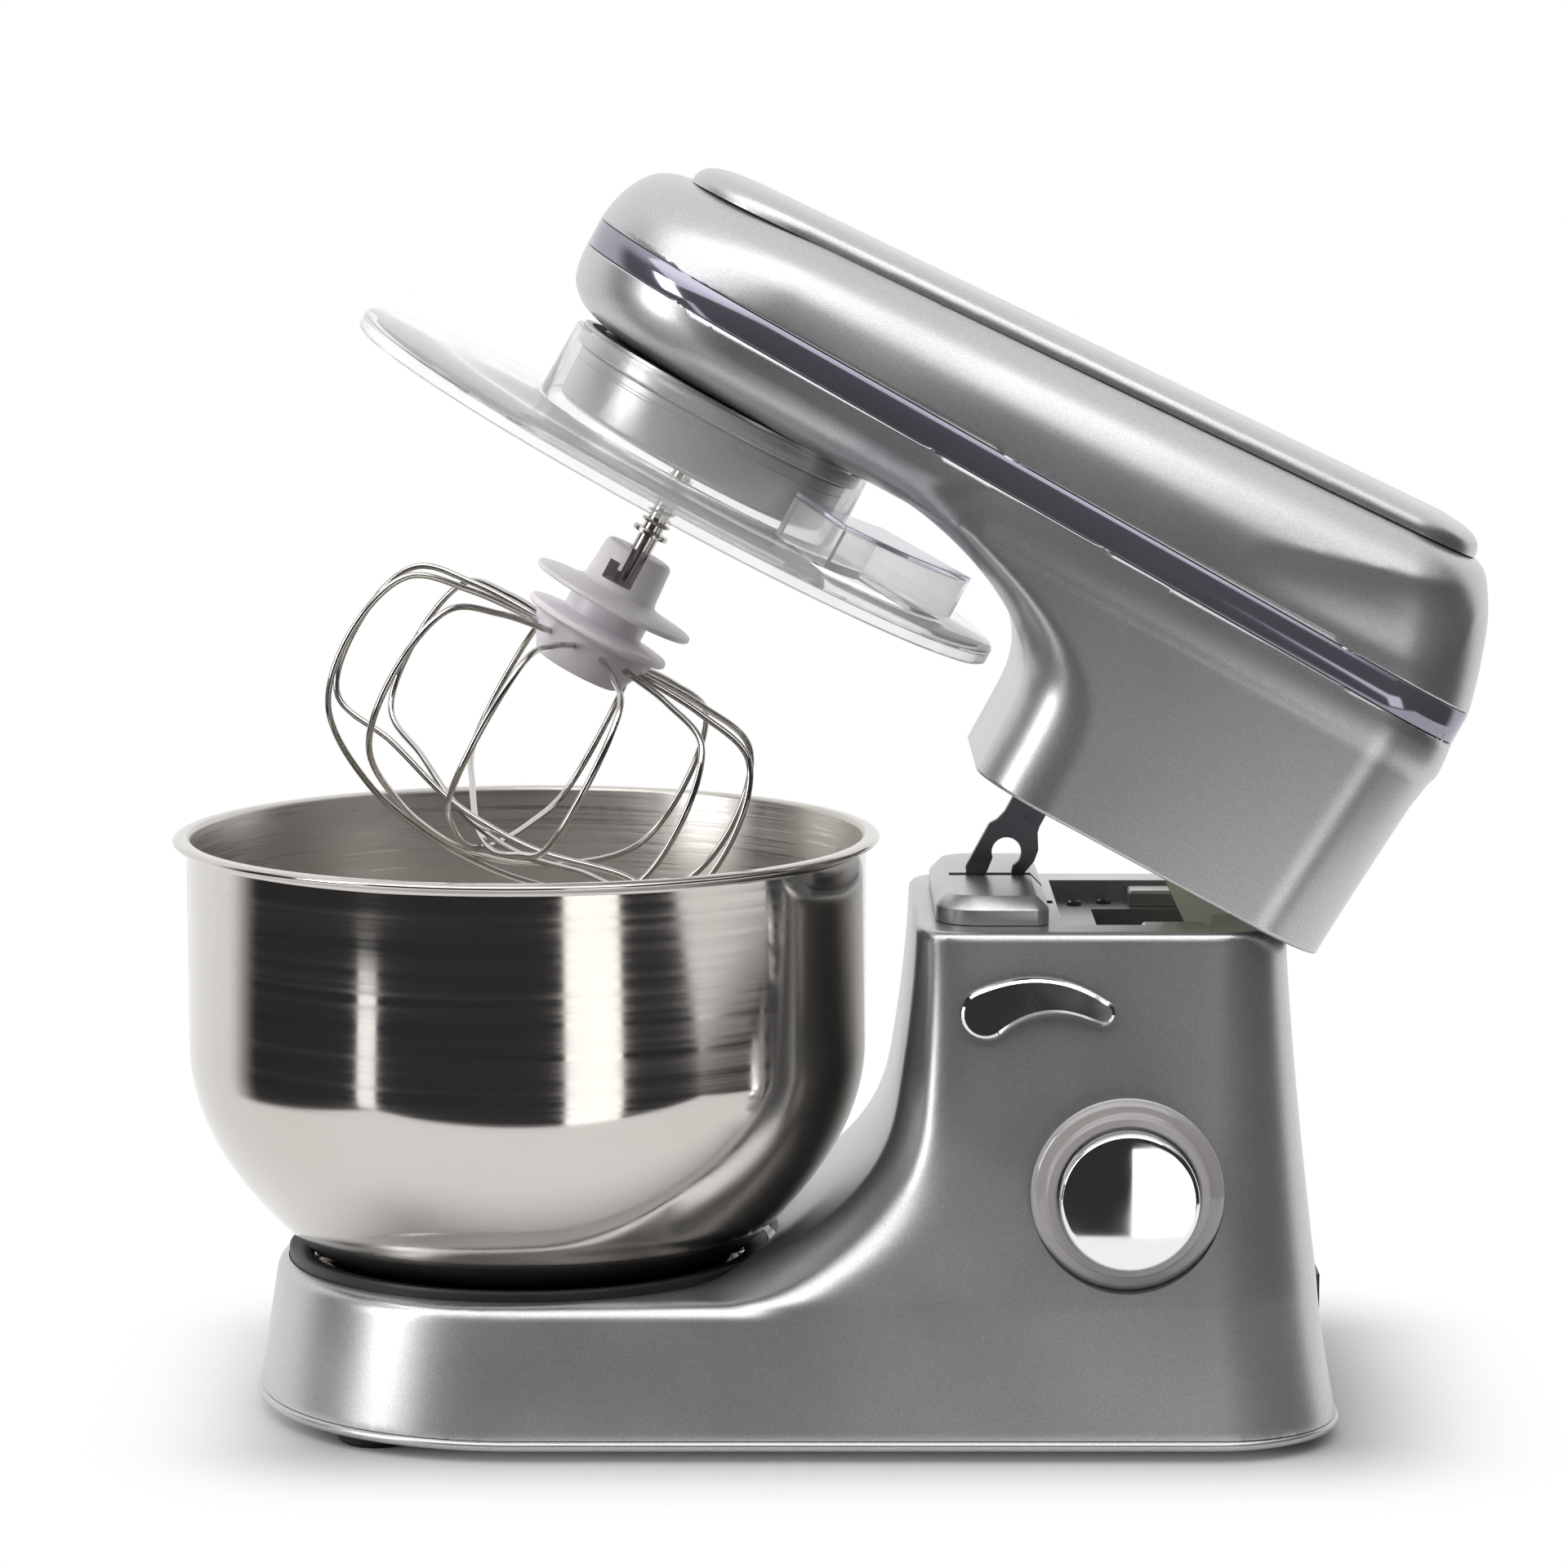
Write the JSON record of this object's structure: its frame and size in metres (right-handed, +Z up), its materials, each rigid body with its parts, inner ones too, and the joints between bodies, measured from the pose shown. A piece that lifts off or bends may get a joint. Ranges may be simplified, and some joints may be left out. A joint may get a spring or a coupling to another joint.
{
  "type": "stand mixer",
  "caption": "Tilt-head stand mixer with its head raised, steel bowl, planetary whisk, clear splash guard, tilt lever and speed knob.",
  "frame": {"origin": "middle of the whole mixer's box on the floor, head raised", "axes": "+Z up, -X towards the bowl, the knob and lever on the -Y side"},
  "size_m": [0.4246, 0.2306, 0.4023],
  "materials": {
    "silver_plastic": "satin silver paint on moulded plastic",
    "mirror_band": "mirror",
    "chrome": "mirror",
    "steel": "polished outside, brushed inside",
    "wire": "polished wire",
    "dark_steel": "dark plated",
    "black_plastic": "matt",
    "rubber": "matt",
    "clear": "clear, polished",
    "violet_clear": "tinted clear",
    "ring_plastic": "glossy, half clear",
    "white_plastic": "satin",
    "nylon": "satin",
    "copper": "lacquered windings",
    "board": "matt"
  },
  "bodies": {
    "base": {"base_housing": "silver_plastic", "bottom_plate": "silver_plastic", "foot_front_near": "rubber", "foot_front_far": "rubber", "foot_rear_near": "rubber", "foot_rear_far": "rubber", "bowl_seat": "black_plastic", "latch_cover": "silver_plastic", "knob_ring": "ring_plastic", "switch_board": "board", "board_post_front": "white_plastic", "board_post_rear": "white_plastic", "hinge_pin": "dark_steel", "rear_vent": "black_plastic", "cord_gland": "rubber"},
    "bowl_body": {"bowl": "steel", "bowl_foot": "steel"},
    "knob": {"speed_knob": "chrome", "knob_shaft": "dark_steel"},
    "lever": {"release_lever": "chrome", "lever_shaft": "dark_steel"},
    "bolt": {"latch_bolt": "dark_steel"},
    "head": {"head_lower_shell": "silver_plastic", "head_upper_shell": "silver_plastic", "trim_band": "mirror_band", "top_cover": "silver_plastic", "latch_hook": "dark_steel", "head_bracket": "nylon", "motor_stator": "dark_steel", "drive_belt": "rubber", "gearbox_plate": "dark_steel", "guard_mount": "silver_plastic", "ring_gear": "dark_steel"},
    "rotor": {"motor_rotor": "copper", "motor_fan": "black_plastic", "motor_pulley": "dark_steel"},
    "drive": {"drive_pulley": "black_plastic", "drive_shaft": "wire", "drive_pinion": "wire"},
    "carrier": {"carrier_gear": "nylon", "carrier_shaft": "wire", "planet_carrier": "silver_plastic"},
    "planet": {"planet_gear": "wire", "output_shaft": "wire", "cross_pin": "wire"},
    "whisk": {"whisk_hub": "white_plastic", "whisk_wire_1": "wire", "whisk_wire_2": "wire", "whisk_wire_3": "wire", "whisk_wire_4": "wire", "whisk_wire_5": "wire", "whisk_wire_6": "wire"},
    "guard": {"splash_guard": "clear", "guard_chute": "clear"},
    "flap": {"chute_flap": "violet_clear"}
  },
  "joints": [
    {"name": "bowl_lift", "type": "slide", "parent": "base", "child": "bowl_body", "axis": [0, 0, 1], "range_m": [0, 0.025]},
    {"name": "speed_knob_turn", "type": "hinge", "parent": "base", "child": "knob", "pos_m": [0.09505, 0, 0.083], "axis": [0, 1, 0], "range_deg": [-30, 180]},
    {"name": "release_lever_press", "type": "hinge", "parent": "base", "child": "lever", "pos_m": [0.05045, 0, 0.139], "axis": [0, 1, 0], "range_deg": [0, 10], "stiffness_Nm_per_rad": 0.6, "springref_deg": -14.32},
    {"name": "latch_bolt_slide", "type": "slide", "parent": "base", "child": "bolt", "axis": [1, 0, 0], "range_m": [0, 0.0023]},
    {"name": "head_tilt", "type": "hinge", "parent": "base", "child": "head", "pos_m": [0.13505, 0, 0.15], "axis": [0, 1, 0], "range_deg": [-28.5, 0]},
    {"name": "carrier_spin", "type": "hinge", "parent": "head", "child": "carrier", "pos_m": [-0.03926, 0, 0.31519], "axis": [0.4772, 0, 0.8788], "continuous": true},
    {"name": "drive_spin", "type": "hinge", "parent": "head", "child": "drive", "pos_m": [0.01604, 0, 0.32272], "axis": [0.4772, 0, 0.8788], "continuous": true},
    {"name": "rotor_spin", "type": "hinge", "parent": "head", "child": "rotor", "pos_m": [0.13995, 0, 0.25544], "axis": [0.4772, 0, 0.8788], "continuous": true},
    {"name": "planet_spin", "type": "hinge", "parent": "carrier", "child": "planet", "pos_m": [-0.03926, 0.0165, 0.31519], "axis": [0.4772, 0, 0.8788], "continuous": true},
    {"name": "whisk_pull_off", "type": "slide", "parent": "planet", "child": "whisk", "axis": [-0.4772, 0, -0.8788], "range_m": [0, 0.025]},
    {"name": "guard_pull_off", "type": "slide", "parent": "head", "child": "guard", "axis": [-0.4772, 0, -0.8788], "range_m": [0, 0.015]},
    {"name": "chute_flap_lift", "type": "hinge", "parent": "guard", "child": "flap", "pos_m": [0.00403, -0.03768, 0.29385], "axis": [-0.5411, -0.788, 0.2938], "range_deg": [0, 7]}
  ],
  "couplings": [
    {"joint": "planet_spin", "follows": "carrier_spin", "ratio": -3},
    {"joint": "drive_spin", "follows": "carrier_spin", "ratio": -4},
    {"joint": "rotor_spin", "follows": "carrier_spin", "ratio": -15},
    {"joint": "latch_bolt_slide", "follows": "release_lever_press", "m_per_rad": 0.012605}
  ]
}
